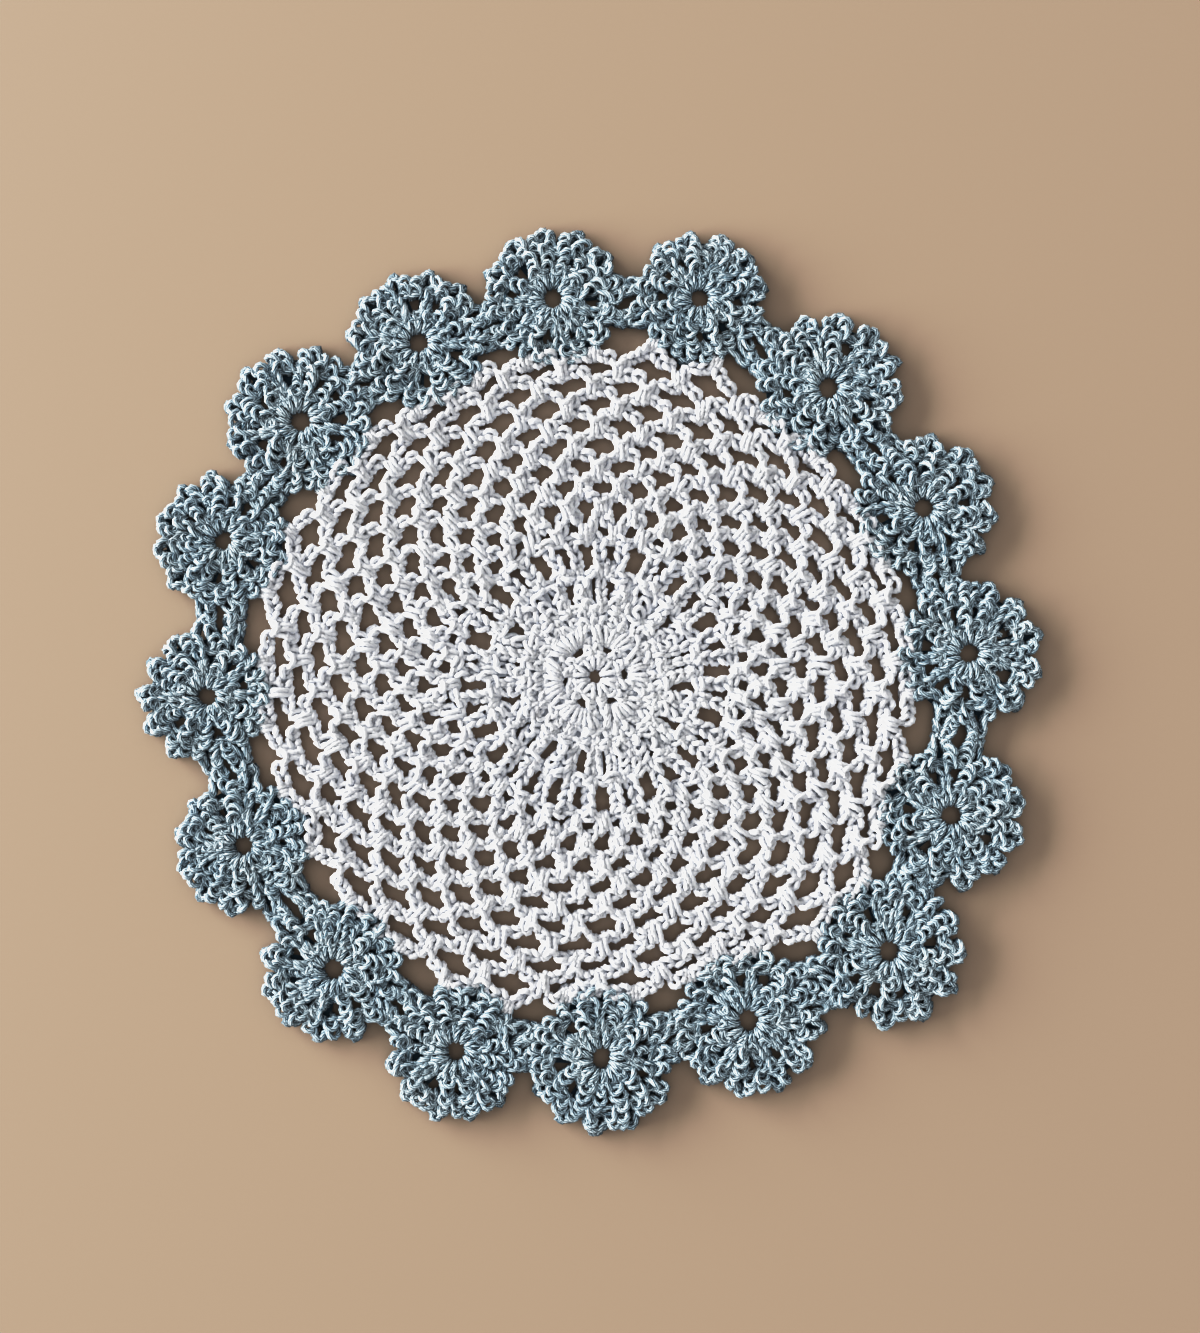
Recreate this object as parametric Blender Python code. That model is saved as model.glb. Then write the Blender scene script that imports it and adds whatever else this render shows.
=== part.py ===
"""Crochet doily: an open white disc ringed by sixteen blue-grey picot motifs.

The doily lies flat on its underside at z = 0. The disc is one solid: dense ridged rounds in
the middle, then rounds of net arches whose larger gaps are cut right through. Each motif is
a solid of its own, a ring of twelve posts that end in picots. Lengths below are in
millimetres and angles in degrees; they become metres where a point is made.
"""
import math
from collections import namedtuple

import bmesh
import bpy

MM = 0.001
GAP = 0.3                 # clearance between neighbouring pieces
DISC_CENTRE = (1.617, -0.114)  # from the middle of the whole doily to the middle of the disc

# ---- the sixteen motifs, anticlockwise from the right
# angle, reach: where the motif's ring hole lies, seen from the middle of the disc
# tip: from the ring hole's middle to the picots; turn: how far the outer picots are turned
# rim: the disc's radius beside this motif
Motif = namedtuple("Motif", "angle reach tip turn rim")
MOTIFS = (
    Motif(3.5, 123.7, 25.1, 12, 99.0),
    Motif(27.2, 122.5, 24.8, -5, 99.0),
    Motif(51.1, 123.6, 25.4, 0, 99.8),
    Motif(74.5, 130.8, 23.2, -6, 102.6),
    Motif(96.3, 126.8, 24.3, 3, 103.6),
    Motif(117.7, 125.7, 24.4, -5, 103.0),
    Motif(139.1, 129.7, 25.6, -1, 104.4),
    Motif(159.9, 131.0, 23.6, 0, 105.2),
    Motif(182.9, 128.2, 23.2, -4, 104.4),
    Motif(205.7, 128.1, 23.2, -6, 102.0),
    Motif(228.3, 128.6, 24.3, 0, 103.8),
    Motif(249.6, 130.7, 23.5, 3, 104.4),
    Motif(271.1, 125.0, 25.0, -6, 100.4),
    Motif(294.1, 123.4, 25.2, 0, 98.6),
    Motif(317.0, 132.0, 25.5, 12, 105.6),
    Motif(338.7, 125.5, 25.1, 2, 99.3),
)
PICOTS = 12               # on each motif
PICOT_STEP = 360 / PICOTS
PICOT_HALF_WIDTH = 1.3
NEIGHBOUR_PICOTS = {3: 1, 4: 1, -3: -1, -4: -1}   # picot number: which neighbour it meets
DISC_PICOTS = (-5, 5)     # picots that the disc is joined to
DISC_PICOT_SHARE = 0.95   # their length, as a share of the others'
NOTCH_SHARE = 0.87        # notches between picots, as a share of the picots' radius
HUB_RADIUS = 3.0          # the open ring in a motif's middle
HUB_TOP = 2.8
CREST_RADIUS = 7.2        # ridge of the first round's stitch tops
CREST_TOP = 4.0
POST_SHARE = 0.68         # where the posts of the second round end
POST_TOP = 3.9
POST_GAP_TOP = 3.0
PICOT_TOP = 2.6

# ---- the disc's net: 32 columns of arches, each row half a column on from the last
COLUMNS = 32
COLUMN_STEP = 360 / COLUMNS
NET_ROWS = 8              # rows whose gaps are cut through
NET_INNER = 46.8          # radius where the net leaves the dense rounds
NET_FIRST = 0.45          # how far the first row lies out, in rows
NET_PITCHES = 8.45        # rows between the dense rounds and the rim
NET_TOP = 2.6
KNOT_TOP = 3.5
GAP_TIP = 0.37            # half width of a gap from tip to tip, in columns
GAP_SHOULDER = 0.21       # half width of its flat outer and inner edges, in columns
GAP_HALF_HEIGHT = 0.33    # in rows
# a gap's corners, in order round it: the next column lies anticlockwise, the last clockwise
NEXT_TIP, OUTER_NEXT, OUTER_LAST, LAST_TIP, INNER_LAST, INNER_NEXT = range(6)

# ---- the V round inside the net: sixteen open gaps, and sixteen closed ones between the legs
V_RADIUS = 40.8
V_HALF_HEIGHT = 2.9
V_CLOSED_TOP = 1.8
V_MARGIN = 1.2            # cloth between these gaps and the dense rounds

# ---- the dense rounds, from the V round inwards
# radius, points round it, and the heights that its points take in turn
Ridge = namedtuple("Ridge", "radius points tops")
RIDGES = (
    Ridge(34.4, 32, (3.5,)),
    Ridge(28.8, 32, (3.4, 2.4)),
    Ridge(22.9, 16, (3.7,)),
    Ridge(16.8, 16, (3.4,)),
    Ridge(9.3, 16, (2.8,)),
    Ridge(4.6, 16, (3.6,)),
)
EYE_TOP = 2.2             # dimple in the very middle

WHITE = (0.86, 0.87, 0.90, 1.0)
MARL = (0.40, 0.50, 0.57, 1.0)


def polar(radius, degrees, centre=(0.0, 0.0)):
    turn = math.radians(degrees)
    return centre[0] + radius * math.cos(turn), centre[1] + radius * math.sin(turn)


class Shell:
    """Collects the points and faces of one closed solid, in millimetres."""

    def __init__(self):
        self.bm = bmesh.new()

    def point(self, xy, z):
        x, y = xy[0] + DISC_CENTRE[0], xy[1] + DISC_CENTRE[1]
        return self.bm.verts.new((x * MM, y * MM, z * MM))

    def ring(self, places, heights):
        return [self.point(xy, heights[i % len(heights)]) for i, xy in enumerate(places)]

    def face(self, *corners):
        return self.bm.faces.new(corners)

    def wall(self, upper, lower):
        """A band of quads between two closed rings with the same number of points."""
        for i in range(len(upper)):
            self.face(upper[i - 1], upper[i], lower[i], lower[i - 1])

    def band(self, outer, inner):
        """Triangles between two closed rings, the outer with as many points or twice as many."""
        ratio = len(outer) // len(inner)
        for i in range(len(inner)):
            first, second = outer[ratio * i], outer[(ratio * i + 1) % len(outer)]
            here, after = inner[i], inner[(i + 1) % len(inner)]
            self.face(first, second, here)
            self.face(second, after, here)
            if ratio == 2:
                self.face(second, outer[(ratio * i + 2) % len(outer)], after)

    def finish(self, name, material, collection):
        bmesh.ops.recalc_face_normals(self.bm, faces=self.bm.faces)
        mesh = bpy.data.meshes.new(name)
        self.bm.to_mesh(mesh)
        self.bm.free()
        mesh.materials.append(material)
        part = bpy.data.objects.new(name, mesh)
        collection.objects.link(part)
        return part


# ---------------------------------------------------------------- the motifs

def motif_centre(number):
    motif = MOTIFS[number % len(MOTIFS)]
    return polar(motif.reach, motif.angle)


def picot_angle(number, picot):
    """A picot's angle: picot 0 points away from the disc, and the turn fades towards it."""
    motif = MOTIFS[number % len(MOTIFS)]
    fade = (1 + math.cos(math.radians(picot * PICOT_STEP))) / 2
    return motif.angle + picot * PICOT_STEP + motif.turn * fade


def meeting(number, picot):
    """Where a picot meets its neighbour's: the middle between them, and the way across."""
    side = NEIGHBOUR_PICOTS[picot]
    centre, other = motif_centre(number), motif_centre(number + side)
    towards = math.degrees(math.atan2(other[1] - centre[1], other[0] - centre[0]))
    half_way = math.dist(centre, other) / 2
    own = math.tan(math.radians(picot_angle(number, picot) - towards))
    theirs = math.tan(math.radians(towards + 180 - picot_angle(number + side, -picot)))
    middle = polar(half_way, towards, centre)
    return polar(half_way * (own + theirs) / 2, towards + 90, middle), towards


def picot_radius(number, picot):
    motif = MOTIFS[number]
    if picot in DISC_PICOTS:
        return motif.tip * DISC_PICOT_SHARE
    if picot == PICOTS // 2:
        beside = 2 * number + 1
        rim = max(rim_radius(beside - 0.5), rim_radius(beside + 0.5))
        return min(motif.tip, motif.reach - rim - GAP)
    return motif.tip


def picot_corners(number, picot, beyond=0.0):
    """The two ends of a picot's blunt tip, or of a line that far beyond it."""
    if picot in NEIGHBOUR_PICOTS:
        middle, angle = meeting(number, picot)
        tip = polar(-GAP / 2, angle, middle)
    else:
        angle = picot_angle(number, picot)
        tip = polar(picot_radius(number, picot) + beyond, angle, motif_centre(number))
    side = angle + 90
    return polar(-PICOT_HALF_WIDTH, side, tip), polar(PICOT_HALF_WIDTH, side, tip)


def make_motif(number, material, collection):
    motif = MOTIFS[number]
    centre = motif_centre(number)
    picots = [n - PICOTS // 2 + 1 for n in range(PICOTS)]
    angles = [picot_angle(number, picot) for picot in picots]
    notches = [(a + b) / 2 for a, b in zip(angles, angles[1:] + [angles[0] + 360])]

    def places(radius, degrees):
        return [polar(radius, angle, centre) for angle in degrees]

    shell = Shell()
    hub = shell.ring(places(HUB_RADIUS, angles), (HUB_TOP,))
    hub_below = shell.ring(places(HUB_RADIUS, angles), (0,))
    crest = shell.ring(places(CREST_RADIUS, angles), (CREST_TOP,))
    posts = shell.ring(places(motif.tip * POST_SHARE, angles), (POST_TOP,))
    dips = shell.ring(places(motif.tip * POST_SHARE, notches), (POST_GAP_TOP,))
    outline = []
    for picot, notch in zip(picots, notches):
        outline += picot_corners(number, picot)
        outline.append(polar(motif.tip * NOTCH_SHARE, notch, centre))
    rim = shell.ring(outline, (PICOT_TOP,))
    rim_below = shell.ring(outline, (0,))
    for i in range(PICOTS):
        j = (i + 1) % PICOTS
        left, right, notch, following = rim[3 * i], rim[3 * i + 1], rim[3 * i + 2], rim[3 * j]
        shell.face(hub[i], crest[i], crest[j], hub[j])
        shell.face(crest[i], posts[i], dips[i])
        shell.face(crest[i], dips[i], crest[j])
        shell.face(crest[j], dips[i], posts[j])
        shell.face(posts[i], left, right)
        shell.face(posts[i], right, dips[i])
        shell.face(dips[i], right, notch)
        shell.face(dips[i], notch, following)
        shell.face(dips[i], following, posts[j])
        left, right, notch, following = (rim_below[3 * i], rim_below[3 * i + 1],
                                         rim_below[3 * i + 2], rim_below[3 * j])
        shell.face(hub_below[i], left, right, notch)
        shell.face(hub_below[i], notch, hub_below[j])
        shell.face(hub_below[j], notch, following)
    shell.wall(rim, rim_below)
    shell.wall(hub, hub_below)
    return shell.finish(f"motif_{number + 1:02d}", material, collection)


# ---------------------------------------------------------------- the disc

def beside_motifs(column, value):
    """A motif's value, faded between neighbours. Motif number n lies at column 2n + 1."""
    place = (column - 1) / 2
    before = math.floor(place)
    share = place - before
    count = len(MOTIFS)
    return value(before % count) * (1 - share) + value((before + 1) % count) * share


def even_angle(column):
    return MOTIFS[0].angle + (column - 1) * COLUMN_STEP


def motif_drift(number):
    """How far a motif lies round from its even place."""
    return MOTIFS[number].angle - even_angle(2 * number + 1)


def rim_radius(column):
    return beside_motifs(column, lambda number: MOTIFS[number].rim)


def row_pitch(column):
    return (rim_radius(column) - NET_INNER) / NET_PITCHES


def row_radius(row, column):
    if row == 0:
        return V_RADIUS
    return NET_INNER + (row - 1 + NET_FIRST) * row_pitch(column)


def disc_place(column, radius):
    """Columns are even at the dense rounds and drift to lie beside the motifs at the rim."""
    share = min(max((radius - NET_INNER) / (rim_radius(column) - NET_INNER), 0), 1)
    return polar(radius, even_angle(column) + share * beside_motifs(column, motif_drift))


def gap_corners(row, number):
    """The six corners of a gap, from the tip on the next column's side."""
    middle = number + 0.5 * (row % 2)
    half = V_HALF_HEIGHT if row == 0 else GAP_HALF_HEIGHT * row_pitch(middle)
    corners = ((GAP_TIP, 0), (GAP_SHOULDER, half), (-GAP_SHOULDER, half),
               (-GAP_TIP, 0), (-GAP_SHOULDER, -half), (GAP_SHOULDER, -half))
    places = []
    for along_row, outwards in corners:
        column = middle + along_row
        places.append(disc_place(column, row_radius(row, column) + outwards))
    return places


def make_net(shell, top):
    """The gaps' corners at one level, as rows[row][number][corner]."""
    return [[[shell.point(xy, top) for xy in gap_corners(row, number)]
             for number in range(COLUMNS)] for row in range(NET_ROWS + 1)]


def knots(net, rim, inner):
    """The ten-cornered stretches of cloth, one round each knot, between its four gaps."""
    stretches = []
    for row, gaps in enumerate(net):
        for number in range(COLUMNS):
            last, following = gaps[number], gaps[(number + 1) % COLUMNS]
            between = (number + row % 2) % COLUMNS
            if row == NET_ROWS:
                outer = [rim[2 * number], rim[2 * number + 1]]
            else:
                gap = net[row + 1][between]
                outer = [gap[INNER_LAST], gap[INNER_NEXT]]
            if row == 0:
                lower = [inner[(2 * number + 2) % len(inner)], inner[2 * number + 1]]
            else:
                gap = net[row - 1][between]
                lower = [gap[OUTER_NEXT], gap[OUTER_LAST]]
            stretches.append(
                outer + [following[OUTER_LAST], following[LAST_TIP], following[INNER_LAST]]
                + lower + [last[INNER_NEXT], last[NEXT_TIP], last[OUTER_NEXT]])
    return stretches


def make_disc(material, collection):
    shell = Shell()
    rim_places = []
    for number in range(COLUMNS):
        for side in (-GAP_SHOULDER, GAP_SHOULDER):
            column = number + 0.5 + side
            rim_places.append(disc_place(column, rim_radius(column)))
    inner_radius = V_RADIUS - V_HALF_HEIGHT - V_MARGIN
    inner_places = []
    for number in range(COLUMNS):
        for side in (-GAP_SHOULDER, GAP_SHOULDER):
            inner_places.append(disc_place(number + side, inner_radius))

    levels = []
    for top in (NET_TOP, 0):
        net = make_net(shell, top)
        rim = shell.ring(rim_places, (top,))
        inner = shell.ring(inner_places, (top,))
        stretches = [shell.face(*corners) for corners in knots(net, rim, inner)]
        for number in range(COLUMNS):
            gap = net[NET_ROWS][number]
            shell.face(gap[OUTER_NEXT], gap[OUTER_LAST], rim[2 * number - 1], rim[2 * number])
            gap = net[0][number]
            shell.face(gap[INNER_LAST], gap[INNER_NEXT], inner[2 * number + 1], inner[2 * number])
        levels.append((net, rim, inner, stretches))

    (net, rim, inner, stretches), (net_below, rim_below, inner_below, _) = levels
    raised = bmesh.ops.poke(shell.bm, faces=stretches)
    for knot in raised["verts"]:
        knot.co.z = KNOT_TOP * MM
    for row, (gaps, gaps_below) in enumerate(zip(net, net_below)):
        for number, (gap, gap_below) in enumerate(zip(gaps, gaps_below)):
            if row == 0 and number % 2 == 0:
                close_gap(shell, gap, gap_below)
            else:
                shell.wall(gap, gap_below)

    add_joins(shell, rim, rim_below)
    outer = inner
    for ridge in RIDGES:
        step = 360 / ridge.points
        start = even_angle(0)
        places = [polar(ridge.radius, start + i * step) for i in range(ridge.points)]
        ring = shell.ring(places, ridge.tops)
        shell.band(outer, ring)
        outer = ring
    eye = shell.point((0, 0), EYE_TOP)
    for i in range(len(outer)):
        shell.face(outer[i - 1], outer[i], eye)
    shell.face(*inner_below)
    return shell.finish("centre_disc", material, collection)


def close_gap(shell, gap, gap_below):
    """A gap too narrow to be cut: its floor is dished instead."""
    floor = shell.face(*gap)
    dish = bmesh.ops.poke(shell.bm, faces=[floor])
    for point in dish["verts"]:
        point.co.z = V_CLOSED_TOP * MM
    shell.face(*gap_below)


def add_joins(shell, rim, rim_below):
    """Each join runs from the rim to just short of a motif's picot."""
    for number in range(COLUMNS):
        motif, side = divmod(number, 2)
        after_end, before_end = picot_corners(motif, DISC_PICOTS[side], GAP)
        a, b = rim[2 * number], rim[2 * number + 1]
        a_below, b_below = rim_below[2 * number], rim_below[2 * number + 1]
        c, d = shell.point(before_end, NET_TOP), shell.point(after_end, NET_TOP)
        c_below, d_below = shell.point(before_end, 0), shell.point(after_end, 0)
        shell.face(a, b, d, c)
        shell.face(a_below, b_below, d_below, c_below)
        shell.face(c, d, d_below, c_below)
        shell.face(a, c, c_below, a_below)
        shell.face(b, d, d_below, b_below)
        after = (2 * number + 2) % len(rim)
        shell.face(b, rim[after], rim_below[after], b_below)


# ---------------------------------------------------------------- the whole

def make_material(name, colour):
    material = bpy.data.materials.new(name)
    material.use_nodes = True
    shader = material.node_tree.nodes["Principled BSDF"]
    shader.inputs["Base Color"].default_value = colour
    shader.inputs["Roughness"].default_value = 0.9
    shader.inputs["Metallic"].default_value = 0.0
    return material


def main():
    for leftover in list(bpy.data.objects):
        bpy.data.objects.remove(leftover)
    collection = bpy.data.collections.new("crochet_doily")
    bpy.context.scene.collection.children.link(collection)
    white = make_material("white_cotton", WHITE)
    marl = make_material("blue_grey_marl_cotton", MARL)
    make_disc(white, collection)
    for number in range(len(MOTIFS)):
        make_motif(number, marl, collection)


main()
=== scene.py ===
import math
import random

import bmesh
import bpy
import numpy as np
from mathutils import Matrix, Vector


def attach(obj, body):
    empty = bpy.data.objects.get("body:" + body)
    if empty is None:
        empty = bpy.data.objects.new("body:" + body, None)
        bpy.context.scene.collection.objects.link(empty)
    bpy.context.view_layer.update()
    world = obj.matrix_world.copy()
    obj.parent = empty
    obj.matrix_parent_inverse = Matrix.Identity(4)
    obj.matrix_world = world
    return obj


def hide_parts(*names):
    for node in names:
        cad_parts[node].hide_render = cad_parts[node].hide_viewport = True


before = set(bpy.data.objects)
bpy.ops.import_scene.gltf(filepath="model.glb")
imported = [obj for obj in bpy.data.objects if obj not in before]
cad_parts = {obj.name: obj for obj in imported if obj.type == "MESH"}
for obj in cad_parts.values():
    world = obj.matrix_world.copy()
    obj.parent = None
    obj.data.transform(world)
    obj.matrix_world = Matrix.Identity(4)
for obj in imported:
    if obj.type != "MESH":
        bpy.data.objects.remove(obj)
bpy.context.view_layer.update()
mm = 0.001
print("frame loaded")

# where everything lies: the same table and rules as the solids, in millimetres and degrees
discCentre = (1.617, -0.114)  # from the middle of the whole doily
motifColumns = ("angle", "reach", "tip", "turn", "rim")
motifTable = [dict(zip(motifColumns, row)) for row in (
    (3.5, 123.7, 25.1, 12, 99.0), (27.2, 122.5, 24.8, -5, 99.0),
    (51.1, 123.6, 25.4, 0, 99.8), (74.5, 130.8, 23.2, -6, 102.6),
    (96.3, 126.8, 24.3, 3, 103.6), (117.7, 125.7, 24.4, -5, 103.0),
    (139.1, 129.7, 25.6, -1, 104.4), (159.9, 131.0, 23.6, 0, 105.2),
    (182.9, 128.2, 23.2, -4, 104.4), (205.7, 128.1, 23.2, -6, 102.0),
    (228.3, 128.6, 24.3, 0, 103.8), (249.6, 130.7, 23.5, 3, 104.4),
    (271.1, 125.0, 25.0, -6, 100.4), (294.1, 123.4, 25.2, 0, 98.6),
    (317.0, 132.0, 25.5, 12, 105.6), (338.7, 125.5, 25.1, 2, 99.3))]
picotNumbers = range(-5, 7)  # on each motif; number 0 points outwards
picotStep = 360 / len(picotNumbers)
neighbourPicots = {3: 1, 4: 1, -3: -1, -4: -1}  # picot number: which neighbour it meets
discPicots = (-5, 5)  # picots that the disc is joined to
net = {
    "columns": 32, "rows": 9,
    "inner": 46.8, "first": 0.45, "pitches": 8.45,  # where rounds lie, in rounds out from the inner radius
    "firstRadius": 48.6,  # where the first round's knots lie
    "joinShare": 0.93,  # how far out on a picot the disc is joined to it
}
columnStep = 360 / net["columns"]


def polar(radius, degrees, centre=(0.0, 0.0)):
    turn = math.radians(degrees)
    return centre[0] + radius * math.cos(turn), centre[1] + radius * math.sin(turn)


def direction(start, end):
    return math.degrees(math.atan2(end[1] - start[1], end[0] - start[0]))


def rotated(across, up, turn):
    return across * math.cos(turn) - up * math.sin(turn), across * math.sin(turn) + up * math.cos(turn)


def motifCentre(number):
    motif = motifTable[number % len(motifTable)]
    return polar(motif["reach"], motif["angle"])


def picotAngle(number, picot):
    motif = motifTable[number % len(motifTable)]
    fade = (1 + math.cos(math.radians(picot * picotStep))) / 2
    return motif["angle"] + picot * picotStep + motif["turn"] * fade


def meeting(number, picot):  # where a picot meets its neighbour's
    side = neighbourPicots[picot]
    centre, other = motifCentre(number), motifCentre(number + side)
    towards = direction(centre, other)
    halfWay = math.dist(centre, other) / 2
    own = math.tan(math.radians(picotAngle(number, picot) - towards))
    theirs = math.tan(math.radians(towards + 180 - picotAngle(number + side, -picot)))
    return polar(halfWay * (own + theirs) / 2, towards + 90, polar(halfWay, towards, centre))


def evenAngle(column):
    return motifTable[0]["angle"] + (column - 1) * columnStep


def besideMotifs(column, value):  # motif number n lies at column 2n + 1
    place = (column - 1) / 2
    before = math.floor(place)
    share = place - before
    count = len(motifTable)
    return value(before % count) * (1 - share) + value((before + 1) % count) * share


def rimRadius(column):
    return besideMotifs(column, lambda number: motifTable[number]["rim"])


def rowPitch(column):
    return (rimRadius(column) - net["inner"]) / net["pitches"]


def rowRadius(row, column):
    return net["inner"] + (row - 1 + net["first"]) * rowPitch(column)


def discAngle(column, radius):  # even in the middle, drifting to the motifs at the rim
    share = min(max((radius - net["inner"]) / (rimRadius(column) - net["inner"]), 0), 1)
    drift = besideMotifs(column, lambda n: motifTable[n]["angle"] - evenAngle(2 * n + 1))
    return evenAngle(column) + share * drift


# yarn: runs of points that nodes sweep into plied yarn
yarn = {
    "white": 1.1, "marl": 1.02,  # radius
    "sides": 5, "step": 1.16,  # of a cross-section; between cross-sections
    "twist": 11.0,  # length of one full turn
    "uneven": 0.35, "unevenScale": 420.0,  # how far its radius changes, and how often
    "strayScale": 190.0,  # how often its line wanders
    "curveSteps": 6,  # between two points of a run
    "floor": 0.84,  # lowest centre line
    "front": 3.35, "back": 0.95,  # heights of a strand over and under a stitch
}
chain = {"pitch": 3.3, "half": 1.42, "loose": 0.14, "uneven": 0.15, "wobble": 22}
ropeHalf = {1: 1.75, 2: 1.65, 8: 1.6, 9: 1.8}  # rounds with a thicker rope
# one link of a chain: how far along it, in links, across it and up, in half widths
linkPath = (
    (0.30, -0.10, -0.95), (0.75, 0.10, -1.00), (1.10, 0.28, -0.30), (1.32, 0.45, 0.50), (1.66, 0.88, 0.75),
    (2.02, 0.98, 0.35), (2.30, 0.58, -0.25), (2.40, 0.0, -0.55), (2.30, -0.58, -0.25), (2.02, -0.98, 0.35),
    (1.66, -0.88, 0.75), (1.32, -0.45, 0.50), (1.10, -0.28, -0.30))
# one hook of a tall stitch: how far up the stitch, in hooks, across it and up, in half widths
hookPath = (
    (-0.10, -0.70, -0.50), (0.40, -1.02, 0.15), (0.92, -0.82, 0.60), (1.22, 0.00, 0.75), (0.92, 0.82, 0.60),
    (0.40, 1.02, 0.15), (-0.10, 0.70, -0.50), (0.25, 0.15, -1.05), (0.60, -0.35, -1.0))
chance = random.Random(11)


def near(spread):
    return chance.uniform(-spread, spread)


class Spot:
    # a place with its own directions, along the round (anticlockwise) and outwards
    def __init__(self, xy, outwards, height=0.0, scale=1.0):
        self.xy, self.outwards, self.height, self.scale = xy, outwards, height, scale
        turn = math.radians(outwards)
        self.out = (math.cos(turn), math.sin(turn))
        self.along = (-self.out[1], self.out[0])

    def put(self, along, out, z):
        along, out = along * self.scale, out * self.scale
        return (self.xy[0] + along * self.along[0] + out * self.out[0],
                self.xy[1] + along * self.along[1] + out * self.out[1], z + self.height)

    def loosened(self, shift, turn, lift=0.0, size=0.0):
        x, y, z = self.put(near(shift), near(shift), near(lift))
        return Spot((x, y), self.outwards + near(turn), z, self.scale * (1 + near(size)))


def leaning(baseAngle, baseRadius, topAngle, topRadius, centre=(0, 0)):
    # a spot at a stitch's foot that points to its head, and the stitch's height
    foot, head = polar(baseRadius, baseAngle, centre), polar(topRadius, topAngle, centre)
    return Spot(foot, direction(foot, head)), math.dist(foot, head)


def addPoint(run, x, y, z, loose):
    run.append((x + near(loose), y + near(loose), max(z + near(loose), yarn["floor"])))


def lay(run, spot, points, loose=0.09):
    for along, out, z in points:
        addPoint(run, *spot.put(along, out, z), loose)


def eased(points):
    # rounds the corners of a line of points
    line = np.array(points, float)
    for _ in range(2):
        line = np.concatenate([line[:1], *[[0.75 * a + 0.25 * b, 0.25 * a + 0.75 * b]
                                           for a, b in zip(line, line[1:])], line[-1:]])
    return line


def chainAlong(run, line, links, roll, half):
    # links of chain along a line of points, turned about it from the first roll to the last
    line = np.array(line, float)
    reach = np.concatenate(([0], np.cumsum(np.linalg.norm(np.diff(line, axis=0), axis=1))))
    total = reach[-1]
    links = links or max(1, round(total / chain["pitch"]))
    half = half or chain["half"]
    pitch = total / (links + 0.3)

    def pointAt(distance):
        return np.array([np.interp(distance, reach, line[:, i]) for i in range(3)])

    def placeAt(distance):
        inside = min(max(distance, 0), total)
        ahead, behind = pointAt(min(inside + 0.4, total)), pointAt(max(inside - 0.4, 0))
        way = (ahead - behind) / np.linalg.norm(ahead - behind)
        return pointAt(inside) + way * (distance - inside), way

    for link in range(links):
        size = half * (1 + near(chain["uneven"]))
        wobble = near(chain["wobble"])
        for step, across, up in linkPath:
            place = link + step - 1
            here, way = placeAt(place * pitch)
            side = np.array((-way[1], way[0], 0))
            side /= np.linalg.norm(side)
            lift = np.cross(way, side)
            turn = math.radians(roll[0] + (roll[1] - roll[0]) * place / links + wobble)
            across, up = rotated(across, up, turn)
            addPoint(run, *(here + side * across * size + lift * up * half), chain["loose"])


def ringLine(centre, radiusAt, heightAt, start, points):
    # a line round a centre; radius and height are read at each angle
    line = []
    for i in range(points + 1):
        angle = start + 360 * i / points
        line.append((*polar(radiusAt(angle), angle, centre), heightAt(angle)))
    return line


def sway(angle, times, start=0.0):
    # a wave that comes back so many times round a circle
    return math.sin(math.radians(angle * times) + start)


def wrap(side, top, bottom, lean=0.0, front=None):
    # one strand down over the front, round the inner end and up behind
    front, back, middle = front or yarn["front"], yarn["back"], (top + bottom) / 2
    return ((side + lean, top, front - 0.7), (side + lean * 0.7, top - 1.1, front - 0.1),
            (side + lean * 0.3, middle, front), (side, bottom + 0.9, front - 0.35),
            (side, bottom + 0.05, (front + back) / 2 + 0.2), (side + 0.05, bottom + 0.5, back + 0.15),
            (side + 0.2, middle, back), (side + 0.4, top - 0.4, back + 0.4))


def makeColumn(run, spot, height, half, hooks, lift=2.45, bend=0.5, foot=0.0, *, slant, skew):
    # a tall stitch: hooks one over the next, each with its two legs under the one before
    pitch = height / (hooks + 0.2)
    curve = near(bend)
    for hook in range(hooks):
        turn, skewed = math.radians(near(slant)), math.radians(near(skew))
        size = half * (1 + near(0.18))
        lean = near(0.4)
        for step, across, up in hookPath:
            if hook == 0 and step < 0:
                step -= foot / pitch
            side, out = rotated(across * size, (step - 0.5) * pitch, skewed)
            out += (hook + 0.5) * pitch
            side, up = rotated(side, up * size, turn)
            side += curve * math.sin(math.pi * out / height) + lean * step
            lay(run, spot, ((side, out, lift + up),), 0.14)


def makePost(run, spot, height, links, half, prongs, foot=2.0, grip=2.2):
    # a tall stitch: links of chain with a strand behind, and prongs that grip the round below
    lay(run, spot, ((0.3, height - 0.8, 1.5), (-0.4, height * 0.5, 1.3), (0.3, 1.8, 1.4)), 0.3)
    for number in range(prongs):
        side = (number - (prongs - 1) / 2) * 1.7 + near(0.2)
        lay(run, spot, wrap(side, grip + near(0.4), -foot + near(0.4), near(0.6) - side * 0.3))
    curve = near(0.8)
    line = eased([spot.put(0, 0, 2.2), spot.put(curve, height * 0.5, 2.4), spot.put(0, height, 2.3)])
    roll = near(18)
    chainAlong(run, line, links, (roll, roll + near(30)), half)


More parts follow.
